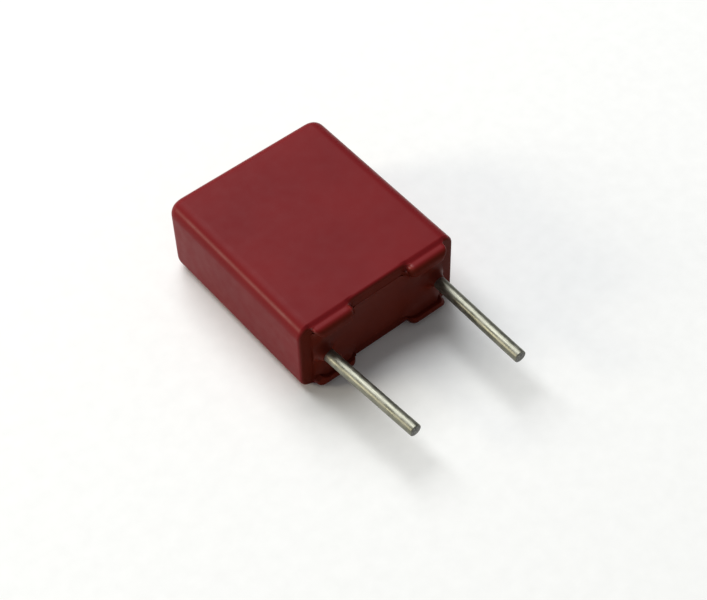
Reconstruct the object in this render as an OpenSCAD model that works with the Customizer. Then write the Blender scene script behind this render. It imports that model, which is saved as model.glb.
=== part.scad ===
// Box film capacitor with radial leads: a flattened film winding with sprayed metal ends,
// welded to two wires and cast in resin inside a five-sided moulded case.
//
// Every piece is drawn standing on the closed end of the case with the leads pointing up,
// X along the lead pitch and Y through the thickness. lay_down() then rests the finished
// piece on its broad face, so that the leads point along -Y and +Z is the thickness.

/* [Case] */
// Length of the case along the lead pitch
case_l = 7.2; // [6.8:0.1:10]
// Thickness of the case between its broad faces
case_t = 3.5; // [3:0.1:6]
// Height from the closed end to the tips of the feet
case_h = 8.5; // [7.5:0.1:12]
// Thickness of the four side walls
wall = 0.55; // [0.4:0.05:0.6]
// Thickness of the wall at the closed end
end_wall = 0.5; // [0.4:0.05:0.8]
// Radius of the four long outer edges
edge_r = 0.6; // [0.6:0.05:0.9]
// Radius of the outer edges round the closed end
closed_end_r = 0.5; // [0.2:0.05:0.6]
// Radius of the outer edge round the open end
rim_r = 0.1; // [0.05:0.05:0.25]
// Radius of the long inner edges of the cavity
cavity_r = 0.25; // [0.1:0.05:0.4]

/* [Feet] */
// Height of the feet above the rim between them
foot_h = 0.45; // [0.2:0.05:0.6]
// Distance from the short side of the case to the inner end of a foot
foot_l = 2.3; // [1.5:0.1:3]
// Distance from the short side of the case to the outer end of a foot
foot_start = 0.4; // [0.35:0.05:0.6]
// Step from the broad face of the case in to the side of a foot
foot_inset = 0.1; // [0.06:0.01:0.25]
// Radius of the edge round the tip of a foot
foot_tip_r = 0.3; // [0.1:0.05:0.35]
// Radius, seen from the open end, of the outer corners of a foot
foot_end_r = 0.25; // [0.1:0.05:0.35]

/* [Leads] */
// Diameter of the tinned wire
wire_d = 0.5; // [0.4:0.05:0.6]
// Distance between the wires where they leave the resin
root_pitch = 5.25; // [5:0.05:5.3]
// Length of the leads past the feet
lead_free = 4.4; // [3:0.1:20]
// Inward lean of the left lead, in degrees
toe_left = 3.3; // [1:0.1:4]
// Inward lean of the right lead, in degrees
toe_right = 0.6; // [0.6:0.1:4]
// Depth of the bend under the resin, where a lead starts to lean
bend_depth = 0.15; // [0.1:0.05:0.5]
// How far the metal swells where the wire is bent
bend_swell = 0.02; // [0.01:0.01:0.05]
// Bevel left on the cut end of a lead
tip_bevel = 0.04; // [0.02:0.01:0.08]
// How far the welded run of a wire stops short of the winding's far edge
weld_margin = 1.4; // [0.5:0.1:2.5]
// Depth that the weld sinks a wire into the sprayed metal
weld_sink = 0.05; // [0.02:0.01:0.1]

/* [Winding] */
// Resin left between the winding and the broad walls
side_gap = 0.15; // [0.05:0.05:0.3]
// Resin left between the winding and the closed end
end_gap = 0.3; // [0.1:0.05:0.6]
// Depth of resin that covers the winding at the lead end
cover = 1.1; // [0.6:0.1:2]
// Thickness of the metal sprayed on each end of the winding
contact_t = 0.25; // [0.15:0.05:0.4]

/* [Resin] */
// How far the resin stops below the rim
resin_drop = 0.03; // [0.02:0.01:0.2]
// Radius of the fillet of resin that climbs each wire
meniscus_r = 0.35; // [0.1:0.05:0.45]
// Thickness of the fillet where it runs out
meniscus_lip = 0.02; // [0.01:0.01:0.04]

/* [Hidden] */
$fn = 64;
LEFT = -1;
RIGHT = 1;
rim_z = case_h - foot_h;                // the rim between the feet
resin_z = rim_z - resin_drop;           // the free surface of the resin
cavity_l = case_l - 2 * wall;
cavity_t = case_t - 2 * wall;
foot_x0 = case_l / 2 - foot_l;
foot_x1 = case_l / 2 - foot_start;
foot_y0 = case_t / 2 - wall;            // a foot is flush with the inside of the wall
foot_w = wall - foot_inset;
foot_corner_r = min(foot_end_r, foot_w - 0.02);
winding_t = cavity_t - 2 * side_gap;
winding_z0 = end_wall + end_gap;
winding_z1 = resin_z - cover;
wire_r = wire_d / 2;
contact_x = root_pitch / 2 - wire_r + weld_sink;     // outer face of the sprayed metal
winding_l = 2 * (contact_x - contact_t);
weld_z = winding_z0 + weld_margin;                   // inner end of the wires
bend_z = resin_z - bend_depth;

// Rests a standing piece on its broad face, with the origin at the middle of that face.
module lay_down() {
  translate([0, case_h / 2, case_t / 2]) rotate([90, 0, 0]) children();
}

// Copies of what is drawn towards +x and +y, one for each corner.
module at_corners() {
  for (x = [0, 1], y = [0, 1]) mirror([x, 0, 0]) mirror([0, y, 0]) children();
}

// Rectangle with round corners, centred.
module round_rect(l, w, r) {
  square([l - 2 * r, w], center = true);
  square([l, w - 2 * r], center = true);
  at_corners() translate([l / 2 - r, w / 2 - r]) circle(r);
}

// Half of an upright section, from the axis out to w. Its outer corner is rounded by r0
// at the lower end, or left square if r0 is 0, and by r1 at the upper end.
module half_section(w, z0, z1, r0, r1) {
  intersection() {
    translate([0, z0]) square([w, z1 - z0]);
    union() {
      translate([0, z0 + r0]) square([w, z1 - z0 - r0 - r1]);
      translate([w - r1, z1 - r1]) circle(r1);
      translate([0, z1 - 2 * r1]) square([w - r1, 2 * r1]);
      if (r0 > 0) {
        translate([w - r0, z0 + r0]) circle(r0);
        translate([0, z0]) square([w - r0, 2 * r0]);
      }
    }
  }
}

module whole_section(w, z0, z1, r0, r1) {
  for (s = [0, 1]) mirror([s, 0]) half_section(w / 2, z0, z1, r0, r1);
}

// Block with round upright edges of radius r, and with round edges along both its ends:
// a turned post at each corner, joined by two slabs that cross.
module round_block(l, w, z0, z1, r, r0, r1) {
  at_corners() translate([l / 2 - r, w / 2 - r, 0])
    rotate_extrude() half_section(r, z0, z1, r0, r1);
  rotate([90, 0, 0]) linear_extrude(w - 2 * r, center = true)
    whole_section(l, z0, z1, r0, r1);
  rotate([90, 0, 90]) linear_extrude(l - 2 * r, center = true)
    whole_section(w, z0, z1, r0, r1);
}

// One foot, seen from the open end: round where it faces the outside of the case.
module foot_outline() {
  translate([foot_x0, foot_y0]) square([foot_x1 - foot_x0, foot_w - foot_corner_r]);
  translate([foot_x0 + foot_corner_r, foot_y0])
    square([foot_x1 - foot_x0 - 2 * foot_corner_r, foot_w]);
  for (x = [foot_x0 + foot_corner_r, foot_x1 - foot_corner_r])
    translate([x, foot_y0 + foot_w - foot_corner_r]) circle(foot_corner_r);
}

// Side view of one foot, which has a round shoulder at both ends.
module foot_shoulder() {
  translate([foot_x0, 0]) square([foot_x1 - foot_x0, case_h - foot_tip_r]);
  translate([foot_x0 + foot_tip_r, 0]) square([foot_x1 - foot_x0 - 2 * foot_tip_r, case_h]);
  for (x = [foot_x0 + foot_tip_r, foot_x1 - foot_tip_r])
    translate([x, case_h - foot_tip_r]) circle(foot_tip_r);
}

// The feet stand on the broad walls, a step in from the outside and flush with the inside.
module feet() {
  intersection() {
    rotate([90, 0, 90]) linear_extrude(case_l, center = true)
      whole_section(case_t - 2 * foot_inset, rim_z - wall, case_h, 0, foot_tip_r);
    at_corners() intersection() {
      linear_extrude(case_h) foot_outline();
      rotate([90, 0, 0]) translate([0, 0, -case_t]) linear_extrude(case_t) foot_shoulder();
    }
  }
}

module case() {
  color([0.50, 0.17, 0.18]) lay_down() difference() {
    union() {
      round_block(case_l, case_t, 0, rim_z, edge_r, closed_end_r, rim_r);
      feet();
    }
    translate([0, 0, end_wall]) linear_extrude(case_h) round_rect(cavity_l, cavity_t, cavity_r);
  }
}

// Flattened roll, wound round an axis along x.
module flat_roll(l) {
  rotate([90, 0, 90]) linear_extrude(l, center = true) {
    for (z = [winding_z0 + winding_t / 2, winding_z1 - winding_t / 2])
      translate([0, z]) circle(winding_t / 2);
    translate([-winding_t / 2, winding_z0 + winding_t / 2])
      square([winding_t, winding_z1 - winding_z0 - winding_t]);
  }
}

function toe(side) = side == LEFT ? toe_left : toe_right;

// Places what is drawn round a wire on the side given.
module at_lead(side) {
  mirror([side == RIGHT ? 1 : 0, 0, 0]) translate([-root_pitch / 2, 0, 0]) children();
}

// Turns what stands at the bend, so that it leans with the free run.
module leaning(side) {
  translate([0, 0, bend_z]) rotate([0, toe(side), 0]) children();
}

// One wire: welded run, bend, leaning free run and bevelled cut end. The ball at the bend
// covers the ends of both runs, which stop a little short of each other.
module wire(side) {
  run = (case_h + lead_free - bend_z) / cos(toe(side));
  at_lead(side) {
    translate([0, 0, weld_z]) cylinder(bend_z - bend_swell - weld_z, r = wire_r);
    translate([0, 0, bend_z]) sphere(wire_r + bend_swell);
    leaning(side) {
      translate([0, 0, bend_swell]) cylinder(run - tip_bevel - bend_swell, r = wire_r);
      translate([0, 0, run - tip_bevel]) cylinder(tip_bevel, r1 = wire_r, r2 = wire_r - tip_bevel);
    }
  }
}

// Fillet of resin round one wire, as far as the walls allow.
module meniscus(side) {
  skirt_r = wire_r + meniscus_r;
  intersection() {
    at_lead(side) leaning(side) rotate_extrude() difference() {
      square([skirt_r, bend_depth + meniscus_r]);
      translate([skirt_r + meniscus_lip, bend_depth + meniscus_r + meniscus_lip])
        circle(meniscus_r);
    }
    linear_extrude(case_h + lead_free) round_rect(cavity_l, cavity_t, cavity_r);
  }
}

module contact(side) {
  difference() {
    translate([side * (contact_x - contact_t / 2), 0, 0]) flat_roll(contact_t);
    wire(side);
  }
}

module potting_resin() {
  color([0.30, 0.13, 0.11]) lay_down() difference() {
    union() {
      translate([0, 0, end_wall]) linear_extrude(resin_z - end_wall)
        round_rect(cavity_l, cavity_t, cavity_r);
      meniscus(LEFT);
      meniscus(RIGHT);
    }
    flat_roll(2 * contact_x);
    wire(LEFT);
    wire(RIGHT);
  }
}

module film_winding() {
  color([0.78, 0.78, 0.74]) lay_down() flat_roll(winding_l);
}

module end_contact_left() {
  color([0.60, 0.60, 0.60]) lay_down() contact(LEFT);
}

module end_contact_right() {
  color([0.60, 0.60, 0.60]) lay_down() contact(RIGHT);
}

module lead_left() {
  color([0.72, 0.71, 0.66]) lay_down() wire(LEFT);
}

module lead_right() {
  color([0.72, 0.71, 0.66]) lay_down() wire(RIGHT);
}

case();
potting_resin();
film_winding();
end_contact_left();
end_contact_right();
lead_left();
lead_right();
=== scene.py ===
# %% [markdown]
# # A small box film capacitor
#
# The real object is a flat, red, five-sided moulded case, about 7 mm long. A film
# winding sits inside it, sealed with cast resin, and two tinned wires leave the open
# end between four stand-off feet. The part lies on one of its broad faces.
#
# The CAD model gives the sizes and the frame: +Y runs to the closed end, X along the
# lead pitch, and Z through the thickness. The pieces that can be seen are modelled
# again here, with the soft edges that a mould, a resin and a wire cutter leave.

# %% Load the frame
import math

import bmesh
import bpy
import numpy as np
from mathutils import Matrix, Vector


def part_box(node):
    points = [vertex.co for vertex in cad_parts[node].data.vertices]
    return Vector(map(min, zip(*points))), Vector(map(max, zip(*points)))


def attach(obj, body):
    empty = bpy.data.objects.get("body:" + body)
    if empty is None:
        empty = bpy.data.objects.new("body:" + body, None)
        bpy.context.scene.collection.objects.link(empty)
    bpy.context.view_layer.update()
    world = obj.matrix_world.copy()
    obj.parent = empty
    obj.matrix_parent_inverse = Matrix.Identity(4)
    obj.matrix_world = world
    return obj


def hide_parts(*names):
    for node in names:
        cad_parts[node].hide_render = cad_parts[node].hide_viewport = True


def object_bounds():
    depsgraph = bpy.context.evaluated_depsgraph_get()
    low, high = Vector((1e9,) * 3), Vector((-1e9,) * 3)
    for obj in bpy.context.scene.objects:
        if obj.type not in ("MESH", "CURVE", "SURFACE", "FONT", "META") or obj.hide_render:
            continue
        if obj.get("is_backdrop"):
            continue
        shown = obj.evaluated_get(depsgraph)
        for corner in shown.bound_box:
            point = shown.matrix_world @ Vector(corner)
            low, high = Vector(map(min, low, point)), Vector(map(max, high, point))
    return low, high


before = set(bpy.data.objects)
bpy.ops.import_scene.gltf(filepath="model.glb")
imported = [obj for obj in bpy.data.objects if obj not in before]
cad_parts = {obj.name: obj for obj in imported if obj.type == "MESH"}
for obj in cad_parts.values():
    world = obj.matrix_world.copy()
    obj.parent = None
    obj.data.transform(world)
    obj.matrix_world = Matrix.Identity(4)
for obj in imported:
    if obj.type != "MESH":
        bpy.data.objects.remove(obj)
cad_lo, cad_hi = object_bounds()
MM = 0.001
print("CAD nodes:", ", ".join(sorted(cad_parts)))

# %% [markdown]
# ## Sizes
#
# The outside sizes come from the frame. The small ones, such as the wall and the edge
# radii, follow the named values of the CAD source, in millimetres. A builder could also
# measure them from the mesh, but a short list of names is easier to read and to change.

# %% Sizes in millimetres
case_lo, case_hi = (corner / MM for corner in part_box("case"))
CASE_L, CASE_H, CASE_T = case_hi - case_lo
CLOSED_Y = case_hi.y

WALL = 0.55             # side walls
END_WALL = 0.5          # wall of the closed end
EDGE_R = 0.6            # long outer edges
CLOSED_END_R = 0.5      # outer edges round the closed end
RIM_R = 0.13            # outer edge round the open end
MOUTH_R = 0.02          # inner edge of the rim
CAVITY_R = 0.08         # upright inner corners, as they show round the resin

FOOT_H = 0.45
FOOT_L = 2.3            # from the short side to the inner end of a foot
FOOT_START = 0.4        # from the short side to its outer end
FOOT_INSET = 0.1        # from the broad face
FOOT_TIP_R = 0.3
FOOT_END_R = 0.25       # seen from the open end
FOOT_ROOT_R = 0.28      # hollow round at the inner end of a foot
FOOT_HEEL_R = 0.12      # and at its outer end
SHOULDER = 0.15         # how far under the rim the shoulder of a foot starts

RIM_H = CASE_H - FOOT_H
RESIN_H = RIM_H - 0.03
BEND_H = RESIN_H - 0.15
WIRE_R = 0.25
ROOT_X = 5.25 / 2
WELD_H = 2.2            # inner end of the wires
TOE = {"left": 3.3, "right": 0.6}       # inward lean in degrees
TIP_H = CLOSED_Y - cad_lo.y / MM
print(f"case {CASE_L:.1f} x {CASE_H:.1f} x {CASE_T:.1f} mm")
print(f"rim at {RIM_H:.2f} mm, tips of the wires at {TIP_H:.2f} mm")


def lay_down(points):
    """Points (x, y, height over the closed end) in mm, laid on the broad face, in metres."""
    p = np.asarray(points, float)
    return np.column_stack([p[:, 0], CLOSED_Y - p[:, 2], p[:, 1] + CASE_T / 2]) * MM


# %% [markdown]
# ## One helper for node trees
#
# Materials and Geometry Nodes are both trees of nodes. This one function adds a node,
# sets its properties, and fills its inputs with values or links, so that a tree reads
# as a list of sentences. Colours are written as the usual hex values, which are sRGB,
# and `linear` turns them into the linear numbers that Blender's sockets expect.

# %% Helpers for nodes and colours
def add(tree, kind, inputs=(), **settings):
    """Adds a node. inputs maps a socket's name or number to a value, a socket or a node."""
    node = tree.nodes.new(kind)
    for name, value in settings.items():
        setattr(node, name, value)
    pairs = inputs.items() if isinstance(inputs, dict) else enumerate(inputs)
    for name, value in pairs:
        socket = node.inputs[name]
        if isinstance(value, bpy.types.Node):
            value = value.outputs[0]
        if isinstance(value, bpy.types.NodeSocket):
            tree.links.new(value, socket)
        elif value is not None:
            socket.default_value = value
    return node


def linear(hex_colour):
    """sRGB "#rrggbb" to a linear RGBA tuple."""
    parts = [int(hex_colour[i:i + 2], 16) / 255 for i in (1, 3, 5)]
    curve = [c / 12.92 if c <= 0.04045 else ((c + 0.055) / 1.055) ** 2.4 for c in parts]
    return (*curve, 1)


def new_material(name):
    """A node material, returned with its tree, its output and its object coordinates."""
    material = bpy.data.materials.new(name)
    material.use_nodes = True
    tree = material.node_tree
    tree.nodes.clear()
    output = add(tree, "ShaderNodeOutputMaterial")
    place = add(tree, "ShaderNodeTexCoord").outputs["Object"]
    return material, tree, output, place


# %% [markdown]
# ## Moulded polyester, dark red
#
# The case is injection moulded from flame-retardant polyester. The mould is spark
# eroded, which leaves a fine, even satin: no mirror, but a soft sheen from every window
# in the room. The true grain is about 0.02 mm, too fine to show here, so it is drawn at
# 0.06 mm. Edges and the ends of the feet are drawn a little smoother than the faces, as if
# rubbed, and paler there as a painted highlight. The rim, the tips of the feet and all
# that is further in get the resin's dark colour and little shine: painted shade. The
# mesh marks both with two point values.

# %% Material: moulded polyester
RESIN_COLOUR = "#571b10"


def moulded_polyester():
    material, tree, output, place = new_material("moulded_polyester_red")
    cloud = add(tree, "ShaderNodeTexNoise", {"Vector": place, "Scale": 1 / (3.0 * MM), "Detail": 3})
    grain = add(tree, "ShaderNodeTexNoise", {"Vector": place, "Scale": 1 / (0.06 * MM), "Detail": 2})
    peel = add(tree, "ShaderNodeTexNoise", {"Vector": place, "Scale": 1 / (0.5 * MM), "Detail": 2})
    sheen_and_wear = add(tree, "ShaderNodeAttribute", attribute_name="sheen_and_wear").outputs["Fac"]
    painted_end_shade = add(tree, "ShaderNodeAttribute", attribute_name="painted_end_shade").outputs["Fac"]
    patchy = add(tree, "ShaderNodeMapRange", {0: cloud, 1: 0.3, 2: 0.7})
    body = add(tree, "ShaderNodeMix", {0: patchy, 6: linear("#6f1519"), 7: linear("#76181b")},
               data_type="RGBA")
    # Painted highlight: where the mask is high, along the narrow ridge of the edges and at the ends of the
    # feet, the red is mixed paler and warmer.
    painted_sheen = add(tree, "ShaderNodeMath", (sheen_and_wear, 0.5), operation="MULTIPLY")
    body = add(tree, "ShaderNodeMix", {0: painted_sheen, 6: body.outputs[2], 7: linear("#8c2f24")},
               data_type="RGBA")
    # Painted shade: the rim, the tips of the feet and all that is further in take the resin's dark colour.
    body = add(tree, "ShaderNodeMix", {0: painted_end_shade, 6: body.outputs[2], 7: linear(RESIN_COLOUR)},
               data_type="RGBA")
    rough = add(tree, "ShaderNodeMapRange", {0: peel, 1: 0.3, 2: 0.7, 3: 0.42, 4: 0.5})
    rough = add(tree, "ShaderNodeMath", (sheen_and_wear, -0.2, rough), operation="MULTIPLY_ADD")
    # A fine matt texture traps part of what would be mirrored. A rubbed edge has lost it.
    mirrored = add(tree, "ShaderNodeMapRange", {0: sheen_and_wear, 3: 0.09, 4: 0.5})
    # The painted shade also takes most of the shine away.
    mirrored = add(tree, "ShaderNodeMix", {0: painted_end_shade, 2: mirrored, 3: 0.03})
    shallow = add(tree, "ShaderNodeBump", {"Height": peel, "Strength": 0.25, "Distance": 0.006 * MM})
    fine = add(tree, "ShaderNodeBump", {
        "Height": grain, "Strength": 0.35, "Distance": 0.004 * MM, "Normal": shallow})
    shader = add(tree, "ShaderNodeBsdfPrincipled", {
        "Base Color": body.outputs[2], "Roughness": rough, "IOR": 1.5,
        "Specular IOR Level": mirrored, "Normal": fine})
    tree.links.new(shader.outputs[0], output.inputs[0])
    return material


# %% [markdown]
# ## Cast epoxy resin
#
# The open end is closed with a dark epoxy, poured in and cured. It levels itself, so it
# has no grain, only long, low waves. A filler takes most of the shine from it.

# %% Material: cast epoxy
def cast_epoxy():
    material, tree, output, place = new_material("cast_epoxy_brownish_red")
    cloud = add(tree, "ShaderNodeTexNoise", {"Vector": place, "Scale": 1 / (1.2 * MM), "Detail": 4})
    wave = add(tree, "ShaderNodeTexNoise", {"Vector": place, "Scale": 1 / (0.9 * MM), "Detail": 1})
    patchy = add(tree, "ShaderNodeMapRange", {0: cloud, 1: 0.3, 2: 0.7})
    colour = add(tree, "ShaderNodeMix", {0: patchy, 6: linear(RESIN_COLOUR), 7: linear("#5e1f13")},
                 data_type="RGBA")
    rough = add(tree, "ShaderNodeMapRange", {0: cloud, 1: 0.3, 2: 0.7, 3: 0.3, 4: 0.42})
    bump = add(tree, "ShaderNodeBump", {"Height": wave, "Strength": 0.3, "Distance": 0.03 * MM})
    shader = add(tree, "ShaderNodeBsdfPrincipled", {
        "Base Color": colour.outputs[2], "Roughness": rough, "IOR": 1.5, "Normal": bump,
        "Specular IOR Level": 0.06})
    tree.links.new(shader.outputs[0], output.inputs[0])
    return material


# %% [markdown]
# ## Tinned wire
#
# The leads are steel-cored wire, drawn through a die and hot tinned. Drawing leaves
# marks along the wire, and the tin dulls to a slightly yellow grey. Resin creeps up the
# first half millimetre past the surface and dries there as a brownish film. The marks
# are about 0.01 mm wide, and drawn at 0.03 mm so that they show.

# %% Materials: tinned wire and its cut end
def tinned_wire():
    material, tree, output, place = new_material("drawn_tinned_wire")
    along = add(tree, "ShaderNodeMapping", {"Vector": place, "Scale": (33 / MM, 0.5 / MM, 33 / MM)})
    marks = add(tree, "ShaderNodeTexNoise", {"Vector": along, "Scale": 1, "Detail": 3})
    patch = add(tree, "ShaderNodeTexNoise", {"Vector": place, "Scale": 1 / (0.35 * MM), "Detail": 4})
    pits = add(tree, "ShaderNodeTexNoise", {"Vector": place, "Scale": 1 / (0.1 * MM), "Detail": 3})
    cloudy = add(tree, "ShaderNodeMapRange", {0: patch, 1: 0.3, 2: 0.7})
    tin = add(tree, "ShaderNodeMix", {0: cloudy, 6: linear("#747468"), 7: linear("#929184")},
              data_type="RGBA")
    rough = add(tree, "ShaderNodeMapRange", {0: marks, 1: 0.3, 2: 0.7, 3: 0.32, 4: 0.46})
    spot = add(tree, "ShaderNodeMapRange", {0: patch, 1: 0.45, 2: 0.75, 3: 0.0, 4: 0.14})
    rough = add(tree, "ShaderNodeMath", (rough, spot), operation="ADD")
    # The film of resin ends raggedly, half a millimetre up the wire.
    split = add(tree, "ShaderNodeSeparateXYZ", (place,))
    ragged = add(tree, "ShaderNodeMath", (pits, 0.5 * MM, split.outputs[1]),
                 operation="MULTIPLY_ADD")
    film_end = (CLOSED_Y - RESIN_H - 0.55) * MM
    film = add(tree, "ShaderNodeMapRange", {0: ragged, 1: film_end, 2: film_end + 0.45 * MM})
    colour = add(tree, "ShaderNodeMix", {0: film, 6: tin.outputs[2], 7: linear("#3c2018")},
                 data_type="RGBA")
    rough = add(tree, "ShaderNodeMix", {0: film, 2: rough, 3: 0.5})
    metal = add(tree, "ShaderNodeMapRange", {0: film, 3: 1.0, 4: 0.15})
    groove = add(tree, "ShaderNodeBump", {"Height": marks, "Strength": 0.4, "Distance": 0.004 * MM})
    dent = add(tree, "ShaderNodeBump", {
        "Height": pits, "Strength": 0.35, "Distance": 0.01 * MM, "Normal": groove})
    shader = add(tree, "ShaderNodeBsdfPrincipled", {
        "Base Color": colour.outputs[2], "Roughness": rough, "Metallic": metal, "Normal": dent})
    tree.links.new(shader.outputs[0], output.inputs[0])
    return material


def sheared_steel():
    """The cut face: torn metal, dark and matt, because the cutter smears the tin away."""
    material, tree, output, place = new_material("sheared_steel_core")
    tear = add(tree, "ShaderNodeTexNoise", {"Vector": place, "Scale": 1 / (0.08 * MM), "Detail": 4})
    torn = add(tree, "ShaderNodeMapRange", {0: tear, 1: 0.35, 2: 0.7})
    colour = add(tree, "ShaderNodeMix", {0: torn, 6: linear("#4c4c4a"), 7: linear("#85857f")},
                 data_type="RGBA")
    bump = add(tree, "ShaderNodeBump", {"Height": tear, "Strength": 0.6, "Distance": 0.02 * MM})
    shader = add(tree, "ShaderNodeBsdfPrincipled", {
        "Base Color": colour.outputs[2], "Roughness": 0.55, "Metallic": 1.0, "Normal": bump})
    tree.links.new(shader.outputs[0], output.inputs[0])
    return material


# %% [markdown]
# ## Inside: wound film and sprayed zinc
#
# The winding and its contacts are sealed in, but they travel with the model, so they get
# their own finishes. Metallised polyester film is silvery and slightly milky, and a
# pressed roll shows its turns as fine lines. A turn is 0.01 mm, drawn here at 0.08 mm.
# Flame-sprayed zinc lands as droplets of about 0.05 mm, so it is grey and grainy.

# %% Materials: film and sprayed zinc
def wound_film():
    material, tree, output, place = new_material("metallised_polyester_film")
    # A wave's period is 0.2 over its scale.
    turns = add(tree, "ShaderNodeTexWave", {
        "Vector": place, "Scale": 0.2 / (0.08 * MM), "Distortion": 0.4}, bands_direction="Z")
    colour = add(tree, "ShaderNodeMix", {0: turns, 6: linear("#bdbdb6"), 7: linear("#dcdcd4")},
                 data_type="RGBA")
    bump = add(tree, "ShaderNodeBump", {"Height": turns, "Strength": 0.3, "Distance": 0.01 * MM})
    shader = add(tree, "ShaderNodeBsdfPrincipled", {
        "Base Color": colour.outputs[2], "Roughness": 0.35, "Metallic": 0.6, "Normal": bump})
    tree.links.new(shader.outputs[0], output.inputs[0])
    return material


def sprayed_zinc():
    material, tree, output, place = new_material("flame_sprayed_zinc")
    drops = add(tree, "ShaderNodeTexVoronoi", {"Vector": place, "Scale": 1 / (0.05 * MM)})
    colour = add(tree, "ShaderNodeMix", {0: drops, 6: linear("#a8aaac"), 7: linear("#7f8284")},
                 data_type="RGBA")
    bump = add(tree, "ShaderNodeBump", {"Height": drops, "Strength": 0.8, "Distance": 0.02 * MM})
    shader = add(tree, "ShaderNodeBsdfPrincipled", {
        "Base Color": colour.outputs[2], "Roughness": 0.65, "Metallic": 0.9, "Normal": bump})
    tree.links.new(shader.outputs[0], output.inputs[0])
    return material


MATERIALS = {"case": moulded_polyester(), "resin": cast_epoxy(), "wire": tinned_wire(),
             "cut": sheared_steel(), "film": wound_film(), "zinc": sprayed_zinc()}
for node_name, key in (("film_winding", "film"), ("end_contact_left", "zinc"),
                       ("end_contact_right", "zinc")):
    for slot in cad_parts[node_name].material_slots:
        slot.material = MATERIALS[key]
print("materials:", ", ".join(m.name for m in MATERIALS.values()))

# %% [markdown]
# ## The moulded case
#
# The case is a box with four of its walls running up to a rim, and the two broad walls
# rise further at their ends, as feet. It could be cut from a block with booleans, but
# those leave sharp, uneven edges. A mould does not: every edge has a radius. So the
# shell is built as a ring of cross-sections. Each section runs from the closed end, up
# the outside, over the rim and down into the cavity. Its place on the ring decides
# whether it also climbs over a foot, and each corner in it is a true arc.

# %% The path of the ring, seen from the open end
def arc(cx, cy, r, start, end, steps):
    """Points on an arc between two angles in degrees."""
    a = np.radians(np.linspace(start, end, steps + 1))
    return np.column_stack([cx + r * np.cos(a), cy + r * np.sin(a)])


def ease(t):
    """Smooth step from 0 to 1."""
    t = np.clip(t, 0, 1)
    return t * t * (3 - 2 * t)


def foot_end_profile(root_r):
    """Side view of a foot's end, from the tip down: rows of (distance into the foot, height)."""
    # The root starts a hair away from the tip's round, so that no two rows share a place.
    tip = arc(FOOT_TIP_R, FOOT_H - FOOT_TIP_R, FOOT_TIP_R, 90, 180, 10)
    root = arc(-0.02 - root_r, root_r, root_r, 0, -90, 8)
    return np.vstack([tip, root])


def quarter_ring():
    """Stations from the middle of a short wall to the middle of a broad wall.

    Each is (outside x, y, inside x, y, height of the foot, how far in its outer side stands,
    how much of its shoulder there is). The line from outside to inside runs across the wall."""
    cx, cy = CASE_L / 2 - EDGE_R, CASE_T / 2 - EDGE_R
    ix, iy = CASE_L / 2 - WALL - CAVITY_R, CASE_T / 2 - WALL - CAVITY_R
    start, stop = CASE_L / 2 - FOOT_START, CASE_L / 2 - FOOT_L
    heel, toe = foot_end_profile(FOOT_HEEL_R)[::-1], foot_end_profile(FOOT_ROOT_R)
    rows = [(CASE_L / 2, y, CASE_L / 2 - WALL, y * iy / cy, 0, FOOT_INSET)
            for y in np.linspace(0, cy, 9)[:-1]]
    # The corner runs as far as the foot's outer end, and the foot stands on the rest of its arc.
    last = math.acos((start - heel[0, 0] - cx) / EDGE_R)
    for a in np.linspace(0, last, 17)[:-1]:
        b = a * math.pi / 2 / last
        rows.append((cx + EDGE_R * math.cos(a), cy + EDGE_R * math.sin(a),
                     ix + CAVITY_R * math.cos(b), iy + CAVITY_R * math.sin(b), 0, FOOT_INSET))
    foot = [(start - into, height, into) for into, height in heel]
    foot += [(x, FOOT_H, 1.0) for x in np.linspace(foot[-1][0], stop + toe[0, 0], 10)[1:-1]]
    foot += [(stop + into, height, into) for into, height in toe]
    for x, height, into in foot:
        y = cy + math.sqrt(EDGE_R ** 2 - max(x - cx, 0) ** 2)
        turn = np.clip(FOOT_END_R - into, 0, FOOT_END_R)
        side = FOOT_INSET + FOOT_END_R - math.sqrt(FOOT_END_R ** 2 - turn ** 2) - (CASE_T / 2 - y)
        inside_x = np.interp(x, [0, 2, foot[0][0]], [0, 2, ix])
        rows.append((x, y, inside_x, CASE_T / 2 - WALL, height, side))
    for x in np.linspace(foot[-1][0], 0, 8)[1:]:
        rows.append((x, CASE_T / 2, x, CASE_T / 2 - WALL, 0, FOOT_INSET + FOOT_END_R))
    rows = np.array(rows)
    # The shoulder comes in over the last bit before the foot, and is gone at the short side.
    leans = ease((rows[:, 0] - stop + 0.35) / 0.5) * ease((CASE_L / 2 - rows[:, 0] - 0.05) / 0.45)
    return np.column_stack([rows, leans])


def whole_ring():
    """The quarter, mirrored twice into one closed ring."""
    quarter = quarter_ring()
    back = quarter[::-1][1:].copy()
    back[:, [0, 2]] *= -1
    half = np.vstack([quarter, back])
    lower = half[::-1][1:-1].copy()
    lower[:, [1, 3]] *= -1
    return np.vstack([half, lower])


ring = whole_ring()
print(len(ring), "stations round the wall,", int((ring[:, 4] > 0).sum()), "of them on a foot")

# %% [markdown]
# ### The cross-section
#
# Up to just under the rim every section is the same. From there to the mouth of the
# cavity it may climb: in over a soft shoulder, up the side of the foot, over its rounded
# tip and down the inner side. Where the foot is low, the same points make the round of
# the rim and spread out evenly on its flat, so no face shrinks to nothing.

# %% One section through the wall
OUTSIDE = np.vstack([
    [(0.6, 0), (0.54, 0)],
    arc(CLOSED_END_R, CLOSED_END_R, CLOSED_END_R, 270, 180, 12),
    np.column_stack([np.zeros(9), np.linspace(CLOSED_END_R, RIM_H - SHOULDER, 11)[1:-1]])])
CAVITY = np.array([(WALL, RIM_H - 0.3), (WALL, RIM_H - 1), (WALL, CASE_H / 2),
                   (WALL, END_WALL), (WALL + 0.06, END_WALL)])
ON_SHOULDER, IN_HOLLOW = 13, 5      # points on the shoulder, and in the curve after it
FIRST_ON_RIM = len(OUTSIDE) + 5     # the painted shade starts on the wall from here on
FIRST_ON_TIP = len(OUTSIDE) + ON_SHOULDER + IN_HOLLOW - 1   # and a foot only from here on


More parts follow.
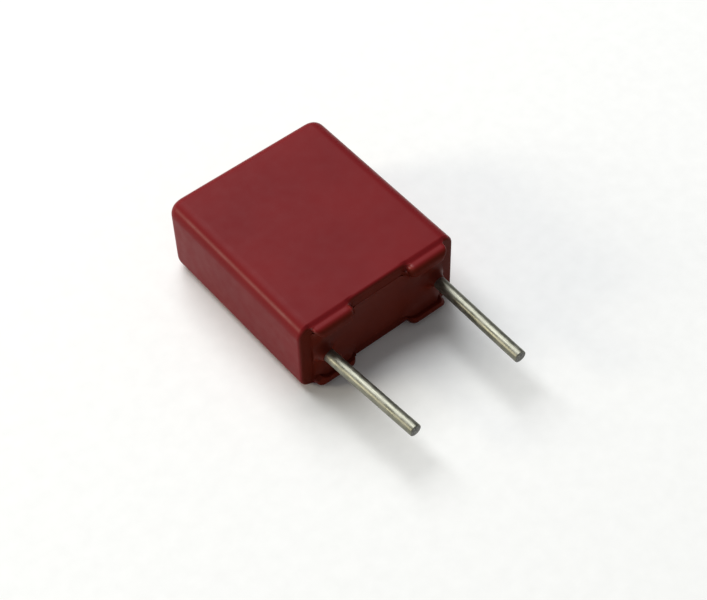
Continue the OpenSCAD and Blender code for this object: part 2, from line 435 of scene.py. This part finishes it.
def over_the_rim(height, outer, lean):
    """(distance in, height over the rim), from just under the rim to the mouth of the cavity.

    height is the foot's, outer is how far in its side stands, and lean is how much of the
    shoulder there is."""
    lip = min(0.04, 0.3 * height)
    tip = min(FOOT_TIP_R, 0.55 * height)
    room = WALL - lip - outer
    sweep = 90 if room >= tip else math.degrees(math.acos(1 - room / tip))
    # The shoulder is an S, and a hollow curve leads from it to the side of the foot.
    across = min(outer, FOOT_INSET)
    top = (height - tip) * 0.5 * (1 - np.clip((outer - across) / 0.1, 0, 1))
    t = np.linspace(0, 1, ON_SHOULDER)
    shoulder = np.column_stack([across * ease(t), t * (top + SHOULDER) - SHOULDER])
    t = np.linspace(0, 1, IN_HOLLOW + 1)[1:, None]
    hollow = ((1 - t) ** 2 * (across, top) + 2 * t * (1 - t) * (outer, top)
              + t ** 2 * (outer, height - tip))
    round_tip = arc(outer + tip, height - tip, tip, 180, 180 - sweep, 9)[1:]
    climb = np.vstack([shoulder, hollow, round_tip])
    top_n, top_z = climb[-1]
    climb = np.vstack([
        climb,
        np.column_stack([np.linspace(top_n, WALL - lip, 4)[1:-1], np.full(2, top_z)]),
        arc(WALL - lip, top_z - lip, lip, 90, 0, 4),
        np.column_stack([np.full(4, WALL), np.linspace(top_z - lip, 0, 6)[1:-1]])])
    flat = np.vstack([
        np.column_stack([np.zeros(4), np.linspace(-SHOULDER, -RIM_R, 5)[:-1]]),
        arc(RIM_R, -RIM_R, RIM_R, 180, 90, 8)])
    rest = len(climb) - len(flat)
    inward = np.linspace(RIM_R, WALL - MOUTH_R, rest + 2)[1:-1]
    flat = np.vstack([flat, np.column_stack([inward, np.zeros(rest)])])
    blend = ease(height / 0.1)
    climb[:ON_SHOULDER] = flat[:ON_SHOULDER] * (1 - lean) + shoulder * lean
    flat[:ON_SHOULDER] = climb[:ON_SHOULDER]
    # The foot's inner side stands in line with the cavity, so there the mouth has no edge.
    edge = arc(WALL - MOUTH_R, -MOUTH_R, MOUTH_R, 90, 0, 4)
    drop = np.column_stack([np.full(len(edge), WALL), np.linspace(0, -MOUTH_R, len(edge))])
    return np.vstack([flat * (1 - blend) + climb * blend, edge * (1 - blend) + drop * blend])


def section(station):
    """All points of one station, standing, in mm."""
    outside, inside = station[:2], station[2:4]
    profile = np.vstack([OUTSIDE, over_the_rim(*station[4:]) + (0, RIM_H), CAVITY])
    plan = outside + profile[:, :1] / WALL * (inside - outside)
    return np.column_stack([plan, profile[:, 1]])


# %% [markdown]
# ### Skinning the ring
#
# Neighbouring sections have the same number of points, so quads join them all the way
# round. Two flat faces close the skin: the closed end outside, and the floor of the
# cavity inside. Two marks are kept on the mesh for the material. The first is strongest
# at the ends of the feet and weaker along the edges: a little rubbing there, and a painted
# highlight in a paler red. The second is the rim and all that is further in, which gets
# painted shade in the resin's dark colour.

# %% Build the case
def new_piece(name, vertices, faces, materials):
    """A mesh object from vertices in metres, smooth shaded, with outward faces."""
    mesh = bpy.data.meshes.new(name)
    mesh.from_pydata([tuple(v) for v in vertices], [], faces)
    mesh.validate()
    piece = bpy.data.objects.new(name, mesh)
    bpy.context.scene.collection.objects.link(piece)
    for material in materials:
        mesh.materials.append(material)
    bm = bmesh.new()
    bm.from_mesh(mesh)
    bmesh.ops.recalc_face_normals(bm, faces=bm.faces)
    bm.to_mesh(mesh)
    bm.free()
    mesh.shade_smooth()
    return piece


def skin(sections):
    """Quads between neighbouring sections of a closed ring, and a cap at both ends."""
    count, points = sections.shape[:2]
    index = np.arange(count * points).reshape(count, points)
    after = np.roll(index, -1, axis=0)
    faces = np.stack([index[:, :-1], after[:, :-1], after[:, 1:], index[:, 1:]], axis=-1)
    return faces.reshape(-1, 4).tolist() + [index[:, 0].tolist(), index[::-1, -1].tolist()]


def sheen_and_wear_mask(sections):
    """Painted highlight and a little wear: 1 at the ends of the feet, a little where the outside turns a
    corner, 0 on the faces.
    """
    def turn(coordinate, half, radius):
        return np.clip((np.abs(coordinate) - (half - radius)) / radius, 0, 1)
    along = turn(sections[..., 0], CASE_L / 2, EDGE_R)
    across = turn(sections[..., 1], CASE_T / 2, EDGE_R)
    end = turn(sections[..., 2] - CASE_H / 2, CASE_H / 2, CLOSED_END_R)
    end = end * (sections[..., 2] < CASE_H / 2)
    corner = np.maximum(np.minimum(along, across), np.minimum(np.maximum(along, across), end))
    on_foot = ease((sections[..., 2] - RIM_H - 0.02) / 0.05)
    middle = CASE_L / 2 - (FOOT_START + FOOT_L) / 2
    off_middle = np.abs(np.abs(sections[..., 0]) - middle) / ((FOOT_L - FOOT_START) / 2)
    # On a true round, corner peaks at 0.71 half way, so this marks a narrow ridge, where the painted
    # highlight lies.
    ridge = 0.3 * ease((corner - 0.56) / 0.14)
    return np.maximum(ridge, on_foot * ease((off_middle - 0.75) / 0.15))


def end_shade_mask(ring, count):
    """1 on the rim, the tips of the feet and all that is further in: painted shade in the resin's dark
    colour.
    """
    on_foot = ease(ring[:, 4:5] / FOOT_H)
    point = np.arange(count)
    on_rim = ease((point - FIRST_ON_RIM) / 6)
    on_tip = ease((point - FIRST_ON_TIP) / 6)
    return on_rim * (1 - on_foot) + on_tip * on_foot


sections = np.array([section(station) for station in ring])
case_shell = new_piece("case_shell", lay_down(sections.reshape(-1, 3)), skin(sections),
                       [MATERIALS["case"]])
for label, amount in (("sheen_and_wear", sheen_and_wear_mask(sections)), ("painted_end_shade", end_shade_mask(ring, sections.shape[1]))):
    attribute = case_shell.data.attributes.new(label, "FLOAT", "POINT")
    attribute.data.foreach_set("value", amount.ravel().astype(np.float32))
for polygon in case_shell.data.polygons:
    polygon.use_smooth = len(polygon.vertices) == 4
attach(case_shell, "root")
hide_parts("case")
print("case_shell:", len(case_shell.data.polygons), "faces")

# %% [markdown]
# ## Geometry Nodes for what follows a rule
#
# The resin's surface and the wires both follow a rule: a liquid climbs what it wets,
# and a wire follows its path. A node tree states such a rule once, with named inputs,
# and gives a new shape when they change. This cell has the two steps that all such
# trees need: starting a tree with named inputs, and turning its result into a plain mesh.

# %% Helpers for Geometry Nodes
def start_tree(name, inputs):
    """A new tree and its given values. inputs maps a name to (socket type, value)."""
    tree = bpy.data.node_groups.new(name, "GeometryNodeTree")
    for label, (kind, value) in inputs.items():
        socket = tree.interface.new_socket(label, in_out="INPUT", socket_type=kind)
        if kind != "NodeSocketMaterial":
            socket.default_value = value
    tree.interface.new_socket("Geometry", in_out="OUTPUT", socket_type="NodeSocketGeometry")
    return tree, add(tree, "NodeGroupInput").outputs


def grow(name, tree, values, finish=None):
    """Runs a tree with these input values, and returns its result as a plain mesh object."""
    seed = bpy.data.objects.new(name + "_seed", bpy.data.meshes.new(name + "_seed"))
    bpy.context.scene.collection.objects.link(seed)
    modifier = seed.modifiers.new("rule", "NODES")
    modifier.node_group = tree
    for item in tree.interface.items_tree:
        if item.in_out == "INPUT" and item.name in values:
            modifier[item.identifier] = values[item.name]
    if finish:
        finish(seed)
    bpy.context.view_layer.update()
    evaluated = seed.evaluated_get(bpy.context.evaluated_depsgraph_get())
    mesh = bpy.data.meshes.new_from_object(evaluated)
    mesh.name = name
    piece = bpy.data.objects.new(name, mesh)
    bpy.context.scene.collection.objects.link(piece)
    bpy.data.objects.remove(seed)
    return piece


# %% [markdown]
# ## The resin
#
# Poured resin is level in the middle, creeps a little up the walls, laps the mouth of the
# case, and climbs the wires and the inner sides of the feet. A liquid's height falls off
# exponentially with distance from what it wets, so the rule, used once for each, is
# height = rise * exp(-distance / reach). The tree bends a fine grid by it and gives it a
# flat underside. Only the top layer is made, because the rest is sealed in round the
# winding.

# %% Build the resin
def resin_tree():
    number = "NodeSocketFloat"
    tree, given = start_tree("poured_resin", {
        "Length": (number, 1.0), "Width": (number, 1.0), "Level": (number, 1.0), "Depth": (number, 1.0),
        "Wire X": (number, 1.0), "Wire Radius": (number, 1.0), "Wire Rise": (number, 1.0),
        "Wire Reach": (number, 1.0), "Wall Rise": (number, 1.0), "Wall Reach": (number, 1.0),
        "Foot Rise": (number, 1.0), "Foot Reach": (number, 1.0), "Foot Edge": (number, 1.0),
        "Ripple": (number, 0.0), "Resin": ("NodeSocketMaterial", None)})
    grid = add(tree, "GeometryNodeMeshGrid", {
        "Size X": given["Length"], "Size Y": given["Width"], "Vertices X": 245, "Vertices Y": 97})
    half_l = add(tree, "ShaderNodeMath", (given["Length"], 0.5), operation="MULTIPLY")
    half_w = add(tree, "ShaderNodeMath", (given["Width"], 0.5), operation="MULTIPLY")
    place = add(tree, "ShaderNodeSeparateXYZ", (add(tree, "GeometryNodeInputPosition"),))
    x = add(tree, "ShaderNodeMath", (place.outputs[0],), operation="ABSOLUTE")
    y = add(tree, "ShaderNodeMath", (place.outputs[1],), operation="ABSOLUTE")
    # How far a point lies from the nearest wall, and from the nearer wire.
    to_end = add(tree, "ShaderNodeMath", (half_l, x), operation="SUBTRACT")
    to_side = add(tree, "ShaderNodeMath", (half_w, y), operation="SUBTRACT")
    to_wall = add(tree, "ShaderNodeMath", (to_end, to_side, given["Wall Reach"]), operation="SMOOTH_MIN")
    off_x = add(tree, "ShaderNodeMath", (x, given["Wire X"]), operation="SUBTRACT")
    off = add(tree, "ShaderNodeCombineXYZ", (off_x, y, 0))
    to_axis = add(tree, "ShaderNodeVectorMath", (off,), operation="LENGTH")
    to_wire = add(tree, "ShaderNodeMath", (to_axis.outputs[1], given["Wire Radius"]),
                  operation="SUBTRACT")
    to_wire = add(tree, "ShaderNodeMath", (to_wire, 0), operation="MAXIMUM")
    # height = rise * exp(-distance / reach), three times, and a low ripple
    swell = add(tree, "ShaderNodeTexNoise", {"Scale": 0.8, "Detail": 1})
    height = add(tree, "ShaderNodeMath", (swell, given["Ripple"], given["Depth"]),
                 operation="MULTIPLY_ADD")
    # There are feet only beside the ends of the long walls.
    past_edge = add(tree, "ShaderNodeMapRange", {
        0: add(tree, "ShaderNodeMath", (x, given["Foot Edge"]), operation="SUBTRACT"), 1: -0.3, 2: 0.3},
        interpolation_type="SMOOTHSTEP")
    off_end = add(tree, "ShaderNodeMapRange", {0: to_end, 1: 0.0, 2: 0.5},
                  interpolation_type="SMOOTHSTEP")
    beside = add(tree, "ShaderNodeMath", (past_edge, off_end), operation="MULTIPLY")
    foot_rise = add(tree, "ShaderNodeMath", (beside, given["Foot Rise"]), operation="MULTIPLY")
    for distance, rise, reach in ((to_wire, given["Wire Rise"], "Wire Reach"),
                                  (to_wall, given["Wall Rise"], "Wall Reach"),
                                  (to_side, foot_rise, "Foot Reach")):
        steps = add(tree, "ShaderNodeMath", (distance, given[reach]), operation="DIVIDE")
        steps = add(tree, "ShaderNodeMath", (steps, -1), operation="MULTIPLY")
        fall = add(tree, "ShaderNodeMath", (steps,), operation="EXPONENT")
        height = add(tree, "ShaderNodeMath", (fall, rise, height), operation="MULTIPLY_ADD")
    lift = add(tree, "ShaderNodeCombineXYZ", (0, 0, height))
    # The top is pulled off the flat grid, and a flipped copy of the grid closes it below.
    block = add(tree, "GeometryNodeExtrudeMesh", {"Mesh": grid, "Offset Scale": 0.0, "Individual": False})
    raised = add(tree, "GeometryNodeSetPosition", {"Geometry": block, "Selection": block.outputs["Top"],
                                                   "Offset": lift})
    under = add(tree, "GeometryNodeFlipFaces", {"Mesh": grid})
    whole = add(tree, "GeometryNodeJoinGeometry", {0: raised})
    tree.links.new(under.outputs[0], whole.inputs[0])
    welded = add(tree, "GeometryNodeMergeByDistance", {"Geometry": whole, "Distance": 1e-4})
    bottom = add(tree, "ShaderNodeMath", (given["Level"], given["Depth"]), operation="SUBTRACT")
    stood = add(tree, "GeometryNodeTransform", {
        "Geometry": welded, "Translation": add(tree, "ShaderNodeCombineXYZ", (0, 0, bottom))})
    real = add(tree, "GeometryNodeRealizeInstances", {"Geometry": stood})
    painted = add(tree, "GeometryNodeSetMaterial", {"Geometry": real, "Material": given["Resin"]})
    smooth = add(tree, "GeometryNodeSetShadeSmooth", {"Geometry": painted})
    add(tree, "NodeGroupOutput", {0: smooth})
    return tree


def settle(piece):
    """Moves a piece that was grown standing, in mm, to its place in the frame, in metres."""
    mesh = piece.data
    mesh.set_sharp_from_angle(angle=math.radians(50))
    at = np.empty(len(mesh.vertices) * 3)
    mesh.vertices.foreach_get("co", at)
    mesh.vertices.foreach_set("co", lay_down(at.reshape(-1, 3)).ravel())
    mesh.update()
    return piece


resin_fill = settle(grow("resin_fill", resin_tree(), {
    "Length": CASE_L - 2 * WALL + 2 * MOUTH_R, "Width": CASE_T - 2 * WALL + 2 * MOUTH_R,
    "Level": RESIN_H, "Depth": 0.9,
    "Wire X": ROOT_X, "Wire Radius": WIRE_R, "Wire Rise": 0.42, "Wire Reach": 0.13,
    "Wall Rise": 0.03, "Wall Reach": 0.15, "Foot Rise": 0.3, "Foot Reach": 0.3,
    "Foot Edge": CASE_L / 2 - FOOT_L, "Ripple": 0.015, "Resin": MATERIALS["resin"]}))
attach(resin_fill, "root")
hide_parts("potting_resin")
print("resin_fill:", len(resin_fill.data.polygons), "faces")

# %% [markdown]
# ## The leads
#
# A lead is a round wire that follows a path: up from its weld, through a slight bend
# just under the resin, and straight on to where it was cut. The tree draws the path as
# a line, leans it with a soft bend, and sweeps a circle along it. One tree makes both
# wires, with a different side and lean. A cutter pinches the wire as it shears it, so
# the last part narrows a little and the end face is dark, torn metal.

# %% Build the leads
def wire_tree():
    number = "NodeSocketFloat"
    tree, given = start_tree("drawn_wire", {
        "Root X": (number, 1.0), "Weld": (number, 1.0), "Bend": (number, 1.0), "Tip": (number, 1.0),
        "Radius": (number, 1.0), "Slope": (number, 0.0), "Softness": (number, 0.1),
        "Waver": (number, 0.0), "Pinch": (number, 0.0), "Seed": (number, 0.0),
        "Wire": ("NodeSocketMaterial", None), "Cut": ("NodeSocketMaterial", None)})
    start = add(tree, "ShaderNodeCombineXYZ", (given["Root X"], 0, given["Weld"]))
    end = add(tree, "ShaderNodeCombineXYZ", (given["Root X"], 0, given["Tip"]))
    line = add(tree, "GeometryNodeCurvePrimitiveLine", {"Start": start, "End": end})
    path = add(tree, "GeometryNodeResampleCurve", {"Curve": line, "Count": 170})
    height = add(tree, "ShaderNodeSeparateXYZ", (add(tree, "GeometryNodeInputPosition"),)).outputs[2]
    # Past the bend the path moves sideways by slope * height. A root of squares softens it.
    past = add(tree, "ShaderNodeMath", (height, given["Bend"]), operation="SUBTRACT")
    square = add(tree, "ShaderNodeMath", (past, past), operation="MULTIPLY")
    soft = add(tree, "ShaderNodeMath", (given["Softness"], given["Softness"]), operation="MULTIPLY")
    squares = add(tree, "ShaderNodeMath", (square, soft), operation="ADD")
    root = add(tree, "ShaderNodeMath", (squares,), operation="SQRT")
    both = add(tree, "ShaderNodeMath", (past, root), operation="ADD")
    half = add(tree, "ShaderNodeMath", (both, 0.5), operation="MULTIPLY")
    lean = add(tree, "ShaderNodeMath", (half, given["Slope"]), operation="MULTIPLY")
    # A wire that was once on a reel is never quite straight.
    noise = add(tree, "ShaderNodeTexNoise", {"W": add(tree, "ShaderNodeMath", (height, given["Seed"]),
                                                      operation="ADD"), "Scale": 0.35, "Detail": 1},
                noise_dimensions="1D")
    wave = add(tree, "ShaderNodeVectorMath", (noise.outputs["Color"], (0.5, 0.5, 0.5)),
               operation="SUBTRACT")
    free = add(tree, "ShaderNodeMapRange", {0: past, 1: 0.0, 2: 2.0})
    sway = add(tree, "ShaderNodeMath", (free, given["Waver"]), operation="MULTIPLY")
    wave = add(tree, "ShaderNodeVectorMath", {0: wave, 3: sway}, operation="SCALE")
    flat_wave = add(tree, "ShaderNodeVectorMath", (wave, (1, 1, 0)), operation="MULTIPLY")
    shift = add(tree, "ShaderNodeVectorMath", (add(tree, "ShaderNodeCombineXYZ", (lean, 0, 0)), flat_wave),
                operation="ADD")
    bent = add(tree, "GeometryNodeSetPosition", {"Geometry": path, "Offset": shift})
    # The cutter pinches the last quarter of a millimetre.
    to_tip = add(tree, "ShaderNodeMath", (given["Tip"], height), operation="SUBTRACT")
    near = add(tree, "ShaderNodeMapRange", {0: to_tip, 1: 0.25, 2: 0.0},
               interpolation_type="SMOOTHSTEP")
    pinch = add(tree, "ShaderNodeMath", (near, given["Pinch"]), operation="MULTIPLY")
    width = add(tree, "ShaderNodeMath", (1, pinch), operation="SUBTRACT")
    sized = add(tree, "GeometryNodeSetCurveRadius", {"Curve": bent, "Radius": width})
    round_section = add(tree, "GeometryNodeCurvePrimitiveCircle", {
        "Resolution": 36, "Radius": given["Radius"]})
    tube = add(tree, "GeometryNodeCurveToMesh", {"Curve": sized, "Profile Curve": round_section,
                                                 "Fill Caps": True})
    real = add(tree, "GeometryNodeRealizeInstances", {"Geometry": tube})
    wired = add(tree, "GeometryNodeSetMaterial", {"Geometry": real, "Material": given["Wire"]})
    facing = add(tree, "ShaderNodeSeparateXYZ", (add(tree, "GeometryNodeInputNormal"),)).outputs[2]
    is_cut = add(tree, "FunctionNodeCompare", {0: facing, 1: 0.9}, operation="GREATER_THAN")
    cut = add(tree, "GeometryNodeSetMaterial", {"Geometry": wired, "Selection": is_cut,
                                                "Material": given["Cut"]})
    smooth = add(tree, "GeometryNodeSetShadeSmooth", {"Geometry": cut})
    add(tree, "NodeGroupOutput", {0: smooth})
    return tree


def round_the_cut(seed):
    """The cutter leaves a small round on the edge of the cut."""
    bevel = seed.modifiers.new("cut edge", "BEVEL")
    bevel.width, bevel.segments = 0.035, 3
    bevel.limit_method, bevel.angle_limit = "ANGLE", math.radians(60)


wires = wire_tree()
for side, sign in (("left", -1), ("right", 1)):
    lead = settle(grow(f"lead_{side}_wire", wires, {
        "Root X": sign * ROOT_X, "Weld": WELD_H, "Bend": BEND_H, "Tip": TIP_H, "Radius": WIRE_R,
        "Slope": -sign * math.tan(math.radians(TOE[side])), "Softness": 0.15, "Waver": 0.03,
        "Pinch": 0.03, "Seed": 4.0 * sign, "Wire": MATERIALS["wire"], "Cut": MATERIALS["cut"]},
        round_the_cut))
    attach(lead, "root")
    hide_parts(f"lead_{side}")
    print(lead.name, len(lead.data.polygons), "faces")

# %% [markdown]
# ## Floor and light
#
# The part lies on a pale matt sheet. One broad soft light hangs overhead, a little
# behind the part, and a lower one stands to the left and behind, which lights the short
# side and puts a narrow sheen on the rounded edge. The open end faces away from both, so
# it stays dark. A soft light's power is worked out from how bright its panel looks.

# %% Build the floor and the lights
def pale_sheet():
    material, tree, output, place = new_material("pale_matt_card")
    fibre = add(tree, "ShaderNodeTexNoise", {"Vector": place, "Scale": 1 / (0.6 * MM), "Detail": 3})
    colour = add(tree, "ShaderNodeMix", {0: fibre, 6: linear("#f2f2f0"), 7: linear("#fafaf8")},
                 data_type="RGBA")
    shader = add(tree, "ShaderNodeBsdfPrincipled", {"Base Color": colour.outputs[2], "Roughness": 0.9})
    tree.links.new(shader.outputs[0], output.inputs[0])
    return material


def panel_light(name, direction, distance, size, brightness, colour):
    """A square soft light that faces the part. brightness is the radiance of its panel."""
    data = bpy.data.lights.new(name, "AREA")
    data.shape, data.size, data.color = "SQUARE", size, colour
    data.energy = brightness * math.pi * size ** 2
    light = bpy.data.objects.new(name, data)
    bpy.context.scene.collection.objects.link(light)
    away = Vector(direction).normalized()
    light.location = away * distance
    light.rotation_euler = away.to_track_quat("Z", "Y").to_euler()


half_floor = 0.6
corners = [(x * half_floor, y * half_floor, 0) for x, y in ((-1, -1), (1, -1), (1, 1), (-1, 1))]
floor = new_piece("pale_floor", corners, [(0, 1, 2, 3)], [pale_sheet()])
floor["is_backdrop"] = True
panel_light("overhead_panel", (0.05, 0.55, 0.84), 0.35, 0.28, 5.6, (0.97, 0.985, 1.0))
panel_light("low_side_panel", (-0.8, 0.48, 0.36), 0.35, 0.1, 13.0, (1.0, 0.93, 0.76))
world = bpy.data.worlds.new("studio_room")
world.use_nodes = True
world.node_tree.nodes["Background"].inputs[0].default_value = linear("#e6e8ea")
world.node_tree.nodes["Background"].inputs[1].default_value = 0.25
bpy.context.scene.world = world
bpy.context.scene.view_settings.view_transform = "Standard"

# %% [markdown]
# ## Camera
#
# The camera looks down on the open end from about 52 degrees, from the left, so that
# the broad face, the short side and the feet all show. A long lens from 63 mm away
# keeps the box's edges almost parallel, as small parts usually look.

# %% Place the camera
CAMERA_TURN = -127.78       # degrees from +X, seen from above
CAMERA_RISE = 51.54         # degrees over the floor
CAMERA_ROLL = -1.89
CAMERA_DISTANCE = 62.57 * MM
AIM = Vector((-0.33, -2.799, 1.75)) * MM

camera_data = bpy.data.cameras.new("camera")
camera_data.lens = 86.85
camera_data.clip_start, camera_data.clip_end = 5 * MM, 2.0
camera = bpy.data.objects.new("camera", camera_data)
bpy.context.scene.collection.objects.link(camera)
turn, rise = math.radians(CAMERA_TURN), math.radians(CAMERA_RISE)
away = Vector((math.cos(turn) * math.cos(rise), math.sin(turn) * math.cos(rise), math.sin(rise)))
camera.location = AIM + away * CAMERA_DISTANCE
camera.rotation_euler = (-away).to_track_quat("-Z", "Y").to_euler()
camera.rotation_euler.rotate_axis("Z", math.radians(CAMERA_ROLL))
bpy.context.scene.camera = camera

# %% [markdown]
# ## Both boxes
#
# The dressed part has to stay in the CAD model's box, so both boxes are written down.

# %% Write the boxes and finish
new_lo, new_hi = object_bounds()
for label, lo, hi in (("CAD", cad_lo, cad_hi), ("visual", new_lo, new_hi)):
    print(label, "box in mm:", [round(v / MM, 3) for v in hi - lo])
